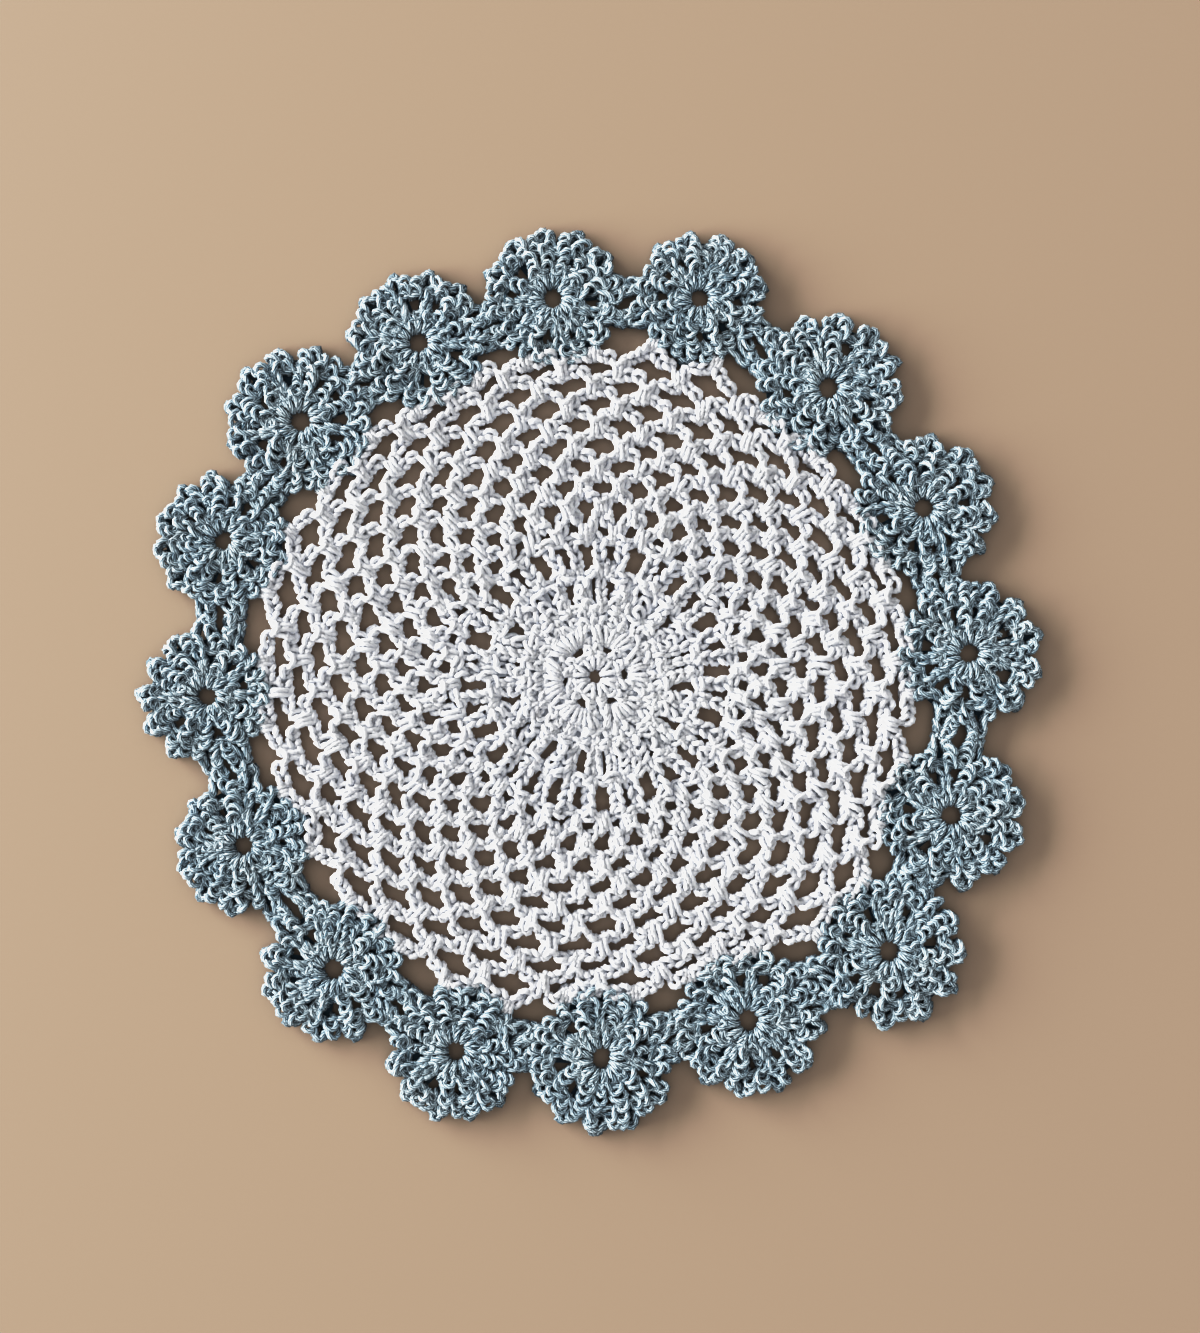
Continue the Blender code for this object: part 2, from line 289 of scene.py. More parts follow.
# nodes that sweep the runs into yarn
def yarnTree():
    tree = bpy.data.node_groups.new("sweepYarn", "GeometryNodeTree")
    tree.is_modifier = True
    face = tree.interface
    face.new_socket("Geometry", in_out="INPUT", socket_type="NodeSocketGeometry")
    for name in ("Radius", "Step", "Twist", "Stray", "Uneven"):
        face.new_socket(name, in_out="INPUT", socket_type="NodeSocketFloat")
    face.new_socket("Material", in_out="INPUT", socket_type="NodeSocketMaterial")
    face.new_socket("Geometry", in_out="OUTPUT", socket_type="NodeSocketGeometry")

    def node(kind, settings=None, **inputs):
        made = tree.nodes.new(kind)
        for name, value in (settings or {}).items():
            setattr(made, name, value)
        for name, value in inputs.items():
            socket = made.inputs[int(name[1:]) if name[1:].isdigit() else name.replace("_", " ")]
            if isinstance(value, bpy.types.NodeSocket):
                tree.links.new(value, socket)
            else:
                socket.default_value = value
        return made

    def numbered(kind, operation, values):
        inputs = {f"_{i}": value for i, value in enumerate(values)}
        return node(kind, {"operation": operation}, **inputs).outputs[0]

    def maths(operation, *values):
        return numbered("ShaderNodeMath", operation, values)

    def vectors(operation, *values):
        return numbered("ShaderNodeVectorMath", operation, values)

    def noise(scale):
        return node("ShaderNodeTexNoise", {"noise_dimensions": "3D"}, Scale=scale, Detail=1.0).outputs

    def position():
        here = node("GeometryNodeInputPosition").outputs[0]
        return node("ShaderNodeSeparateXYZ", Vector=here).outputs

    def store(geometry, name, value):
        return node("GeometryNodeStoreNamedAttribute", {"data_type": "FLOAT", "domain": "POINT"},
                    Geometry=geometry, Name=name, Value=value).outputs[0]

    # the run as a smooth line that wanders a little
    given = tree.nodes.new("NodeGroupInput").outputs
    line = node("GeometryNodeMeshToCurve", Mesh=given["Geometry"]).outputs[0]
    line = node("GeometryNodeCurveSplineType", {"spline_type": "CATMULL_ROM"}, Curve=line).outputs[0]
    line = node("GeometryNodeSetSplineResolution", Geometry=line, Resolution=yarn["curveSteps"]).outputs[0]
    wander = vectors("SUBTRACT", noise(yarn["strayScale"])[1], (0.5, 0.5, 0.5))
    wander = vectors("MULTIPLY", wander, (1.0, 1.0, 0.5))
    wander = node("ShaderNodeVectorMath", {"operation": "SCALE"}, Vector=wander, Scale=given["Stray"])
    line = node("GeometryNodeSetPosition", Geometry=line, Offset=wander.outputs[0]).outputs[0]
    line = node("GeometryNodeResampleCurve", {"mode": "LENGTH"}, Curve=line, Length=given["Step"]).outputs[0]

    # twist and unevenness, and what the material reads
    along = node("GeometryNodeSplineParameter").outputs["Length"]
    line = store(line, "yarnAlong", along)
    tilt = maths("MULTIPLY", maths("DIVIDE", along, given["Twist"]), 2 * math.pi)
    line = node("GeometryNodeSetCurveTilt", Curve=line, Tilt=tilt).outputs[0]
    change = maths("SUBTRACT", noise(yarn["unevenScale"])[0], 0.5)
    thickness = maths("MULTIPLY_ADD", change, given["Uneven"], 1.0)
    line = node("GeometryNodeSetCurveRadius", Curve=line, Radius=thickness).outputs[0]
    level = position()[2]
    line = store(line, "yarnHeart", level)

    # the cross-section, with its directions
    ring = node("GeometryNodeCurvePrimitiveCircle", Resolution=yarn["sides"], Radius=given["Radius"])
    angle = maths("MULTIPLY", node("GeometryNodeInputIndex").outputs[0], 2 * math.pi / yarn["sides"])
    around = node("ShaderNodeCombineXYZ", X=maths("COSINE", angle), Y=maths("SINE", angle)).outputs[0]
    profile = node("GeometryNodeStoreNamedAttribute", {"data_type": "FLOAT_VECTOR", "domain": "POINT"},
                   Geometry=ring.outputs[0], Name="yarnRound")
    tree.links.new(around, next(s for s in profile.inputs if s.name == "Value" and s.enabled))
    profile = profile.outputs[0]
    swept = node("GeometryNodeCurveToMesh", Curve=line, Profile_Curve=profile, Fill_Caps=True).outputs[0]
    # yarnAbove, height over the centre line in radii, is read by the materials for the painted shade on a
    # strand's flanks
    heart = node("GeometryNodeInputNamedAttribute", {"data_type": "FLOAT"}, Name="yarnHeart").outputs[0]
    swept = store(swept, "yarnAbove", maths("DIVIDE", maths("SUBTRACT", level, heart), given["Radius"]))

    # flat where it lies on the surface
    x, y, z = position()
    rested = node("ShaderNodeCombineXYZ", X=x, Y=y, Z=maths("MAXIMUM", z, 0.0)).outputs[0]
    swept = node("GeometryNodeSetPosition", Geometry=swept, Position=rested).outputs[0]
    smooth = node("GeometryNodeSetShadeSmooth", Geometry=swept).outputs[0]
    real = node("GeometryNodeRealizeInstances", Geometry=smooth).outputs[0]
    painted = node("GeometryNodeSetMaterial", Geometry=real, Material=given["Material"]).outputs[0]
    out = tree.nodes.new("NodeGroupOutput")
    tree.links.new(painted, out.inputs[0])
    return tree


sweepYarn = yarnTree()


def yarnPiece(name, runs, material, radius, stray):
    mesh = bpy.data.meshes.new(name + "Line")
    points, edges = [], []
    for run in runs:
        first = len(points)
        points += [((x + discCentre[0]) * mm, (y + discCentre[1]) * mm, z * mm) for x, y, z in run]
        edges += [(i, i + 1) for i in range(first, len(points) - 1)]
    mesh.from_pydata(points, edges, [])
    line = bpy.data.objects.new(name + "Line", mesh)
    bpy.context.scene.collection.objects.link(line)
    sweep = line.modifiers.new("sweepYarn", "NODES")
    sweep.node_group = sweepYarn
    values = {"Radius": radius * mm, "Step": yarn["step"] * mm, "Twist": yarn["twist"] * mm,
              "Stray": stray * mm, "Uneven": yarn["uneven"], "Material": material}
    for socket in sweepYarn.interface.items_tree:
        if socket.in_out == "INPUT" and socket.name in values:
            sweep[socket.identifier] = values[socket.name]
    view = bpy.context.evaluated_depsgraph_get()
    made = bpy.data.meshes.new_from_object(line.evaluated_get(view), depsgraph=view)
    bpy.data.objects.remove(line)
    made.name = name
    piece = bpy.data.objects.new(name, made)
    bpy.context.scene.collection.objects.link(piece)
    print(f"{name}: {len(runs)} runs, {sum(len(face.vertices) - 2 for face in made.polygons)} triangles")
    return piece


# materials
class Socket:
    # wraps a node's output so that shader maths reads as expressions
    def __init__(self, tree, output):
        self.tree, self.output = tree, output

    def maths(self, operation, *others):
        made = self.tree.nodes.new("ShaderNodeMath")
        made.operation = operation
        for socket, value in zip(made.inputs, (self, *others)):
            if isinstance(value, Socket):
                self.tree.links.new(value.output, socket)
            else:
                socket.default_value = value
        return Socket(self.tree, made.outputs[0])

    def __add__(self, other):
        return self.maths("ADD", other)

    def __sub__(self, other):
        return self.maths("SUBTRACT", other)

    def __rsub__(self, other):
        return self * -1.0 + other

    def __mul__(self, other):
        return self.maths("MULTIPLY", other)

    def __truediv__(self, other):
        return self.maths("DIVIDE", other)

    def __pow__(self, other):
        return self.maths("POWER", other)

    def __abs__(self):
        return self.maths("ABSOLUTE")

    def clamped(self):
        return self.maths("MAXIMUM", 0.0).maths("MINIMUM", 1.0)


class Finish:
    # a material, and the one method that adds any other node to it
    def __init__(self, name):
        self.material = bpy.data.materials.new(name)
        self.material.use_nodes = True
        self.tree = self.material.node_tree
        self.shader = self.tree.nodes["Principled BSDF"]

    def node(self, kind, settings=None, inputs=None, output=0):
        made = self.tree.nodes.new(kind)
        for name, value in (settings or {}).items():
            setattr(made, name, value)
        for name, value in (inputs or {}).items():
            if isinstance(value, Socket):
                self.tree.links.new(value.output, made.inputs[name])
            else:
                made.inputs[name].default_value = value
        return Socket(self.tree, made.outputs[output])

    def feed(self, name, value):
        if isinstance(value, Socket):
            self.tree.links.new(value.output, self.shader.inputs[name])
        else:
            self.shader.inputs[name].default_value = value

    def mix(self, factor, first, second):
        return self.node("ShaderNodeMix", {"data_type": "RGBA"}, {0: factor, 6: first, 7: second}, output=2)

    def noise(self, place, scale, detail):
        return self.node("ShaderNodeTexNoise", None, {"Vector": place, "Scale": scale, "Detail": detail})

    def split(self, vector, axis):
        return self.node("ShaderNodeSeparateXYZ", None, {0: vector}, output=axis)


cotton = {  # what both yarns share
    "plies": 6.0, "hairsRound": 22.0, "hairsAlong": 300.0, "streaksAlong": 50.0,
    "cloudFrom": 0.35, "cloudEdge": 1.6,
    "roughness": 0.9, "specular": 0.25, "sheenRoughness": 0.6, "scatterDepth": 0.0016,
    "bump": 0.5, "bumpDepth": 0.0004, "crownPower": 0.7, "crownShare": 0.6, "hairShare": 0.4,
}
# in each look, "groove" is the colour of painted shade: inside the mat ("middle", "depth", "insideShade"), on
# flanks ("flankShade", "flankEdge") and between plies ("grooveShade"); "hairShade" is the fibres' own mottle
# towards it
whiteLook = {
    "first": (0.85, 0.88, 0.95, 1), "second": (0.91, 0.94, 0.98, 1), "groove": (0.61, 0.65, 0.73, 1),
    "middle": 1.6, "depth": 1.5, "insideShade": 0.25, "flankShade": 0.15, "flankEdge": 1.6,
    "grooveShade": 0.35, "hairShade": 0.25, "cloudScale": 60.0, "scatter": 0.6, "sheen": 0.25,
}
marlLook = {
    "first": (0.655, 0.805, 0.905, 1), "second": (0.845, 0.955, 1.0, 1), "groove": (0.018, 0.045, 0.07, 1),
    "middle": 1.5, "depth": 1.8, "insideShade": 0.92, "flankShade": 0.88, "flankEdge": 2.2,
    "dark": (0.09, 0.16, 0.21, 1), "darkShare": 0.95, "darkFrom": 0.54, "darkEdge": 12.0, "streaks": 7.0,
    "grooveShade": 0.95, "hairShade": 0.4, "cloudScale": 90.0, "scatter": 0.3, "sheen": 0.2,
}


def yarnFinish(name, look):
    finish = Finish(name)
    around = finish.node("ShaderNodeAttribute", {"attribute_name": "yarnRound"}, output=1)
    along = finish.node("ShaderNodeAttribute", {"attribute_name": "yarnAlong"}, output=2)
    above = finish.node("ShaderNodeAttribute", {"attribute_name": "yarnAbove"}, output=2)  # 1 on top
    place = finish.node("ShaderNodeTexCoord", output=3)
    turn = finish.split(around, 1).maths("ARCTAN2", finish.split(around, 0)) / (2 * math.pi) + 0.5  # 0 to 1
    ply = (turn * cotton["plies"] + 0.5).maths("FRACT")
    crown = 1.0 - abs(ply - 0.5) * 2.0  # 1 on a ply's crown, 0 in the groove
    fibre = finish.node("ShaderNodeCombineXYZ", None,
                        {0: turn * cotton["hairsRound"], 1: along * cotton["hairsAlong"]})
    hair = finish.noise(fibre, 1.0, 2.0)

    # the ply's own colours, in clouds and, in the marl, dark streaks
    cloud = finish.noise(place, look["cloudScale"], 2.0)
    colour = finish.mix((cloud - cotton["cloudFrom"]) * cotton["cloudEdge"], look["first"], look["second"])
    if "dark" in look:
        streak = finish.node("ShaderNodeCombineXYZ", None,
                             {0: turn * look["streaks"], 1: along * cotton["streaksAlong"]})
        share = ((finish.noise(streak, 1.0, 1.0) - look["darkFrom"]) * look["darkEdge"]).clamped()
        colour = finish.mix(share * look["darkShare"], colour, look["dark"])

    # painted shade: darker inside the mat, on a strand's flanks and between its plies, where shade falls; the
    # fibres' own mottle mixes towards the same colour
    level = finish.split(place, 2) * 1000.0  # in millimetres
    # painted shade by height: most at the mat's middle height, where lower layers lie in shade, none a depth
    # away
    inside = (1.0 - abs(level - look["middle"]) / look["depth"]).clamped()
    colour = finish.mix(inside * look["insideShade"], colour, look["groove"])
    # painted shade on a strand's flanks, from yarnAbove: none on its top and underneath, most at its sides
    flank = (1.0 - abs(above)).maths("MAXIMUM", 0.0) ** look["flankEdge"]
    colour = finish.mix(flank * look["flankShade"], colour, look["groove"])
    # painted shade in the grooves between plies; the hair noise is the fibres' own mottle
    groove = (1.0 - crown) ** 2.0
    shade = groove * look["grooveShade"] + (hair - 0.5) * look["hairShade"]
    finish.feed("Base Color", finish.mix(shade, colour, look["groove"]))
    finish.feed("Roughness", cotton["roughness"])
    finish.feed("Specular IOR Level", cotton["specular"])
    finish.feed("Sheen Weight", look["sheen"])
    finish.feed("Sheen Roughness", cotton["sheenRoughness"])
    finish.feed("Subsurface Weight", look["scatter"])
    finish.feed("Subsurface Radius", (1.0, 1.0, 1.0))
    finish.feed("Subsurface Scale", cotton["scatterDepth"])
    relief = crown ** cotton["crownPower"] * cotton["crownShare"] + hair * cotton["hairShare"]
    finish.feed("Normal", finish.node("ShaderNodeBump", None, {
        "Strength": cotton["bump"], "Distance": cotton["bumpDepth"], "Height": relief}))
    return finish.material


whiteCotton = yarnFinish("whiteCotton", whiteLook)
marlCotton = yarnFinish("marlCotton", marlLook)
print("materials made")

# the white disc's close rounds
disc = {
    "start": 3.5,
    "eye": {"posts": 8, "inner": 2.1, "height": 5.2, "half": 0.8, "front": 3.2},
    "fans": {"fans": 6, "strands": 8, "first": 6.0, "base": 11.4, "top": 17.0, "spreadBase": 34,
             "spreadTop": 53, "front": 3.3},
    "bridges": {"base": 7.2, "top": 12.9, "spreadBase": 11, "spreadTop": 9},
    "close": {"posts": 36, "base": 16.8, "top": 22.8, "lean": 0.3},
    # columns is the share of stitches worked in hooks and not in chain
    "triples": {"groups": 16, "sides": (-1, 0, 1), "shift": 0.0, "base": 23.2, "top": 32.8, "spreadBase": 6.0,
                "spreadTop": 5.0, "stray": 2.0, "half": 1.05, "links": 3, "prongs": 1, "columns": 0.6},
    "vees": {"groups": 16, "sides": (-1, 1), "shift": 0.5, "base": 35.0, "top": 45.8, "spreadBase": 4.6,
             "spreadTop": 5.4, "stray": 1.2, "half": 1.95, "links": 3, "prongs": 3, "columns": 0},
    # radius, links, height and half width
    "braids": ((7.2, 12, 2.4, 0.8), (12.2, 22, 1.6, 0.9), (17.2, 32, 2.0, 0.95), (23.0, 42, 2.4, 1.2),
               (34.2, 60, 2.4, 1.35), (46.0, 84, 2.4, 1.2)),
    # how a braid wanders, fully from this radius outwards
    "weave": {"across": 1.1, "up": 0.8, "waves": 16, "ripples": 37, "dips": 23, "full": 30},
    "stitchYarn": 0.94, "stitchStray": 2.2, "braidYarn": 0.92, "braidStray": 2.6, "netStray": 1.8,
}


def eyeRuns():
    eye, runs = disc["eye"], []
    for i in range(eye["posts"]):
        angle = disc["start"] + 360 / eye["posts"] * i + near(2)
        spot = Spot(polar(eye["inner"], angle), angle)
        run = []
        for side in (-eye["half"], eye["half"]):
            lay(run, spot.loosened(0.1, 4), wrap(side * 1.3, eye["height"], 0.1, side * 0.5, eye["front"]))
        runs.append(run)
    return runs


def fanRuns():
    # each fan, and the pair of stitches between it and the next
    fans, bridge, runs = disc["fans"], disc["bridges"], []
    apart = 360 / fans["fans"]
    for fan in range(fans["fans"]):
        middle = fans["first"] + apart * fan
        run = []
        for i in range(fans["strands"]):
            off = i / (fans["strands"] - 1) - 0.5
            spot, height = leaning(middle + off * fans["spreadBase"], fans["base"] + near(0.2),
                                   middle + off * fans["spreadTop"], fans["top"] + near(0.3))
            lay(run, spot.loosened(0.15, 3, 0.1),
                wrap(near(0.15), height, -0.3, near(0.5), fans["front"] + near(0.2)))
        runs.append(run)
        between = middle + apart / 2
        run = []
        for side in (-1, 1):
            spot, height = leaning(between + side * bridge["spreadBase"], bridge["base"],
                                   between + side * bridge["spreadTop"], bridge["top"])
            makeColumn(run, spot.loosened(0.3, 8, 0.1), height, 1.0, 2, slant=30, skew=20)
        runs.append(run)
    return runs


def closeRuns():
    close, runs = disc["close"], []
    apart = 360 / close["posts"]
    for i in range(close["posts"]):
        spot, height = leaning(apart * i, close["base"], apart * (i + close["lean"]), close["top"])
        run = []
        makeColumn(run, spot.loosened(0.4, 14, 0.3), height, 0.95, 2, foot=1.2, slant=30, skew=24)
        runs.append(run)
    return runs


def groupSides(size):
    # the middle of each group of tall stitches, and on which side of it each stitch lies
    for group in range(size["groups"]):
        for side in size["sides"]:
            yield disc["start"] + 360 / size["groups"] * (group + size["shift"]), side


def groupRuns(size):
    runs = []
    for middle, side in groupSides(size):
        spot, height = leaning(
            middle + side * size["spreadBase"] + near(size["stray"]), size["base"] + near(0.5),
            middle + side * size["spreadTop"] + near(size["stray"]), size["top"] + near(0.5))
        run = []
        if size["columns"] and chance.random() < size["columns"]:
            makeColumn(run, spot.loosened(0.5, 12, 0.3), height, size["half"] * 1.25, size["links"],
                       bend=1.6, foot=1.6, slant=40, skew=52)
        else:
            makePost(run, spot.loosened(0.4, 5, 0.25), height, size["links"], size["half"], size["prongs"])
        runs.append(run)
    return runs


def closeStitches():
    chance.seed(21)
    return eyeRuns() + fanRuns() + closeRuns() + groupRuns(disc["triples"]) + groupRuns(disc["vees"])


def closeBraids():
    chance.seed(22)
    weave, runs = disc["weave"], []
    for radius, links, height, half in disc["braids"]:
        wave = near(3)
        across = min(radius / weave["full"], 1) * weave["across"]
        up = min(radius / weave["full"], 1) * weave["up"]
        line = ringLine(
            (0, 0), lambda angle: radius + across * (sway(angle, weave["waves"], wave)
                                                     + sway(angle, weave["ripples"])) / 2,
            lambda angle: height + up * sway(angle, weave["dips"], wave), 0, 360)
        run = []
        chainAlong(run, line, links, (0, 0), half)
        runs.append(run)
    return runs


# the white net
knot = {
    "shift": 0.55, "turn": 10.0, "lift": 0.12, "scale": 0.07,  # how unevenly knots lie
    "lean": (1.0, 4.0, 70.0),  # mean lean, how far it swings round the disc, and where it is most
    "least": 0.92, "pitch": 13.0,  # smallest scale, and the width of arch that has a full-sized knot
    "sparse": 0.4, "inward": 0.45,  # share with two strands, and how far those move together
    "headed": 0.6,  # share with a strand across the top
}
# a knot's strands as seen from above with outwards at the top: to the right, outwards, height
knotStrands = (
    ((-2.1, 3.0, 2.8), (-1.6, 1.6, 3.4), (-1.35, -0.4, 3.6), (-1.35, -2.4, 3.4), (-1.35, -3.9, 2.3),
     (-1.2, -3.1, 1.2), (-0.9, -1.2, 0.9), (-0.6, 1.2, 1.1)),
    ((-0.5, 2.0, 3.0), (-0.1, 0.7, 3.7), (0.0, -1.0, 3.8), (0.1, -2.7, 3.4), (0.2, -4.2, 2.2),
     (0.2, -3.2, 1.1), (0.3, -1.0, 0.9), (0.6, 1.4, 1.2)),
    ((1.5, 2.8, 3.0), (1.3, 1.4, 3.6), (1.3, -0.4, 3.6), (1.35, -2.3, 3.3), (1.45, -3.7, 2.2),
     (1.4, -2.8, 1.2), (1.1, -1.0, 1.0), (1.1, 0.4, 1.5)))
knotHead = ((-2.4, 2.9, 3.2), (-1.2, 1.6, 4.0), (0.3, 1.1, 4.2), (1.6, 1.8, 3.9), (2.2, 3.0, 3.2))
arch = {
    # the open loop at a knot's right, and on from it
    "loop": ((1.5, -1.1, 2.3), (2.9, -0.5, 2.6), (3.6, 1.0, 2.8), (3.5, 2.8, 2.9), (2.5, 3.8, 2.9),
             (1.3, 3.5, 2.9), (0.9, 2.2, 2.3), (1.4, 0.8, 1.3), (2.4, 1.5, 1.2)),
    "start": ((3.1, 2.7, 1.7), (4.0, 3.3, 2.1)),
    "under": ((-2.4, -3.0, 2.0), (0.0, -2.5, 1.8), (2.6, -1.5, 2.1)),  # below the next round's knot
    "wing": ((-4.7, 4.3, 2.2), (-3.3, 4.4, 2.5), (-2.2, 3.4, 2.8)),  # into a knot from the left
    "roll": 25, "unroll": 40,
    "joinLeft": ((-0.8, -2.0, 2.3),), "joinRight": ((0.8, -2.0, 2.3),), "joinStrands": (-1.2, 0.1, 1.3),
}


def seen(spot, points):
    return [spot.put(-right, out, z) for right, out, z in points]


def knotPlaces():
    # every knot of the net, rows[row][number]
    chance.seed(29)
    rows = {}
    for row in range(1, net["rows"] + 1):
        rows[row] = []
        for number in range(net["columns"]):
            column = number + (0.0 if row % 2 else 0.5)
            radius = net["firstRadius"] if row == 1 else rowRadius(row, column)
            angle = discAngle(column, radius)
            mean, swing, most = knot["lean"]
            lean = mean + swing * math.cos(math.radians(2 * (angle - most)))
            pitch = 2 * math.pi * radius / net["columns"]
            scale = min(max(pitch / knot["pitch"], knot["least"]), 1.0)
            spot = Spot(polar(radius, angle), angle + lean, 0.0, scale)
            rows[row].append(spot.loosened(knot["shift"], knot["turn"], knot["lift"], knot["scale"]))
    return rows


places = knotPlaces()


def makeKnot(run, spot):
    sparse = chance.random() < knot["sparse"]
    for number, points in enumerate(knotStrands):
        if sparse and number == 1:
            continue
        shift = near(0.25) + (1 - number) * knot["inward"] * sparse
        tilt = near(0.15)
        reach = near(0.5)
        lay(run, spot, [(-(right + shift + tilt * out), out + (reach if abs(out) > 2 else 0), z)
                        for right, out, z in points], 0.14)
    if chance.random() < knot["headed"]:
        lay(run, spot, [(-right, out, z) for right, out, z in knotHead], 0.25)
    lay(run, spot, [(-right * (1 + near(0.06)), out * (1 + near(0.08)), z)
                    for right, out, z in arch["loop"]], 0.15)


def archLine(row, number):
    # from the knot before, under a knot of the next round, into this knot
    following = (number + 1) % net["columns"]
    peak = places[row + 1][number if row % 2 else following]
    return eased(seen(places[row][following], arch["start"]) + seen(peak, arch["under"])
                 + seen(places[row][number], arch["wing"]))


def makeRope(run, line, roll, row):
    chainAlong(run, line, None, (roll, roll + near(arch["unroll"])), ropeHalf.get(row))


def makeJoin(run, number, roll):
    # an arch of the last round: out to a motif's picot, over it and back
    row = net["rows"]
    motif, side = number // 2, number % 2
    tip = motifTable[motif]["tip"] * net["joinShare"]
    xy = polar(tip, picotAngle(motif, discPicots[side]), motifCentre(motif))
    away = direction((0, 0), xy)
    there, turned = Spot(xy, away), Spot(xy, away + 180)
    before = places[row][(number + 1) % net["columns"]]
    makeRope(run, eased(seen(before, arch["start"]) + seen(there, arch["joinLeft"])), roll, row)
    for side in arch["joinStrands"]:
        lay(run, turned, wrap(side, 2.8 + near(0.4), -1.3 + near(0.3), near(0.4)))
    makeRope(run, eased(seen(there, arch["joinRight"]) + seen(places[row][number], arch["wing"])), roll, row)


def netRun(row):
    # a round goes clockwise: under the next round's knot, into a knot's left, and round its open loop
    chance.seed(30 + row)
    run = []
    for number in range(net["columns"] - 1, -1, -1):
        roll = near(arch["roll"])
        if row < net["rows"]:
            makeRope(run, archLine(row, number), roll, row)
        else:
            makeJoin(run, number, roll)
        makeKnot(run, places[row][number])
    return run


pieces = {}
pieces["discPosts"] = yarnPiece("disc_close_stitches", closeStitches(), whiteCotton,
                                yarn["white"] * disc["stitchYarn"], disc["stitchStray"])
pieces["discRings"] = yarnPiece("disc_close_braids", closeBraids(), whiteCotton,
                                yarn["white"] * disc["braidYarn"], disc["braidStray"])
for row in range(1, net["rows"] + 1):
    pieces[f"net{row}"] = yarnPiece(f"net_round_{row}", [netRun(row)], whiteCotton,
                                    yarn["white"], disc["netStray"])

# the motifs, with lengths for one whose picots reach out to the tip below
motifSize = {
    "tip": 24.6, "stray": 1.8,
    "ring": {"inner": 3.2, "top": 7.8, "half": 0.72, "front": 3.7},
    "braids": ((9.0, 14, 2.3, 1.0), (16.8, 26, 2.1, 0.95)),  # radius, links, height and half width
    "weave": {"across": 0.4, "waves": 5, "up": 0.25, "dips": 7},
    "posts": {"base": 8.8, "top": 17.6, "half": 1.75, "hooks": 3, "lift": 2.7, "columns": 0.55},
    "fillers": {"base": 9.8, "top": 16.6, "half": 1.25, "hooks": 3, "lift": 2.2, "share": 0.5},
    "crests": {"base": 7.9, "wide": 1.5, "long": 2.4},
    "singles": {"base": 16.8, "top": 22.3, "half": 1.6, "hooks": 2, "lift": 2.7, "apart": (0.27, 0.73)},
    "picots": {"base": 20.6, "half": 0.95, "spread": 2.5, "links": 3, "roll": 60},
    "bridge": {"base": 20.6, "half": 1.25, "hooks": 2, "apart": (0.25, 0.75), "turn": 0.4, "past": 1.6},
}


class Motif:
    # one motif of the table, with what its rounds have in common
    def __init__(self, number):
        self.number, self.row, self.centre = number, motifTable[number], motifCentre(number)
        self.scale = self.row["tip"] / motifSize["tip"]
        self.angles = [picotAngle(number, n) for n in picotNumbers]

    def spot(self, angle, radius):
        return Spot(polar(radius * self.scale, angle, self.centre), angle, 0.0, self.scale)


def ringRuns(motif):
    ring, runs = motifSize["ring"], []
    for angle in motif.angles:
        run = []
        spot = motif.spot(angle + near(2), ring["inner"]).loosened(0.1, 5, 0.1)
        for side in (-ring["half"], ring["half"]):
            lay(run, spot, wrap(side * 1.15, ring["top"] - ring["inner"] + near(0.5), 0.4 + near(0.2),
                                side * 0.5, ring["front"] + near(0.3)))
        runs.append(run)
    return runs


def braidRuns(motif):
    weave, runs = motifSize["weave"], []
    for radius, links, height, half in motifSize["braids"]:
        wave = near(3)
        line = ringLine(
            motif.centre,
            lambda angle: radius * motif.scale + weave["across"] * sway(angle, weave["waves"], wave),
            lambda angle: height + weave["up"] * sway(angle, weave["dips"], wave),
            motif.angles[0] + near(10), 96)
        run = []
        chainAlong(run, line, links, (0, 0), half)
        runs.append(run)
    return runs


def postRuns(motif):
    posts, runs = motifSize["posts"], []
    base, top = posts["base"] * motif.scale, posts["top"] * motif.scale
    for angle in motif.angles:
        spot, height = leaning(angle + near(5), base, angle + near(5), top, motif.centre)
        half = posts["half"] * (1 + near(0.15))
        run = []
        if chance.random() < posts["columns"]:
            makeColumn(run, spot.loosened(0.4, 12, 0.2), height, half, posts["hooks"], posts["lift"],
                       bend=1.0, foot=0.8, slant=40, skew=40)
        else:
            makePost(run, spot.loosened(0.4, 12, 0.2), height, 2, half * 0.8, 2, foot=0.8, grip=4.6)
        runs.append(run)
    return runs


def fillerRuns(motif):
    # a crest between two posts, and here and there a thinner stitch out from it
    fillers, crests, runs = motifSize["fillers"], motifSize["crests"], []
    for angle in motif.angles:
        between = angle + picotStep / 2
        run = []
        spot = motif.spot(between + near(7), crests["base"]).loosened(0.5, 18, 0.2)
        wide = crests["wide"] * (1 + near(0.25))
        long = crests["long"] * (1 + near(0.25))
        lay(run, spot, (
            (-wide, long, 2.4), (-wide * 0.8, long * 0.4, 3.2), (0, -0.7, 3.7),
            (wide * 0.8, long * 0.4, 3.5), (wide, long, 2.9), (wide * 0.4, long * 1.5, 2.2)), 0.15)
        runs.append(run)
        if chance.random() < fillers["share"]:
            run = []
            spot = motif.spot(between + near(3), fillers["base"]).loosened(0.3, 10, 0.1)
            makeColumn(run, spot, (fillers["top"] - fillers["base"]) * motif.scale, fillers["half"],
                       fillers["hooks"], fillers["lift"], slant=35, skew=35)
            runs.append(run)
    return runs


def edgeRuns(motif):
    # the last round: two single stitches and a picot in turn
    singles, runs = motifSize["singles"], []
    angles = motif.angles + [motif.angles[0] + 360]
    for n, angle, following in zip(picotNumbers, angles, angles[1:]):
        for share in singles["apart"]:
            run = []
            spot = motif.spot(angle + (following - angle) * share + near(3), singles["base"])
            spot = spot.loosened(0.4, 16, 0.25)
            height = (singles["top"] - singles["base"]) * motif.scale + near(0.5)
            makeColumn(run, spot, height, singles["half"], singles["hooks"], singles["lift"],
                       bend=0.8, foot=1.4, slant=40, skew=48)
            runs.append(run)
        runs.append(picotRun(motif, n, angle))
    return runs


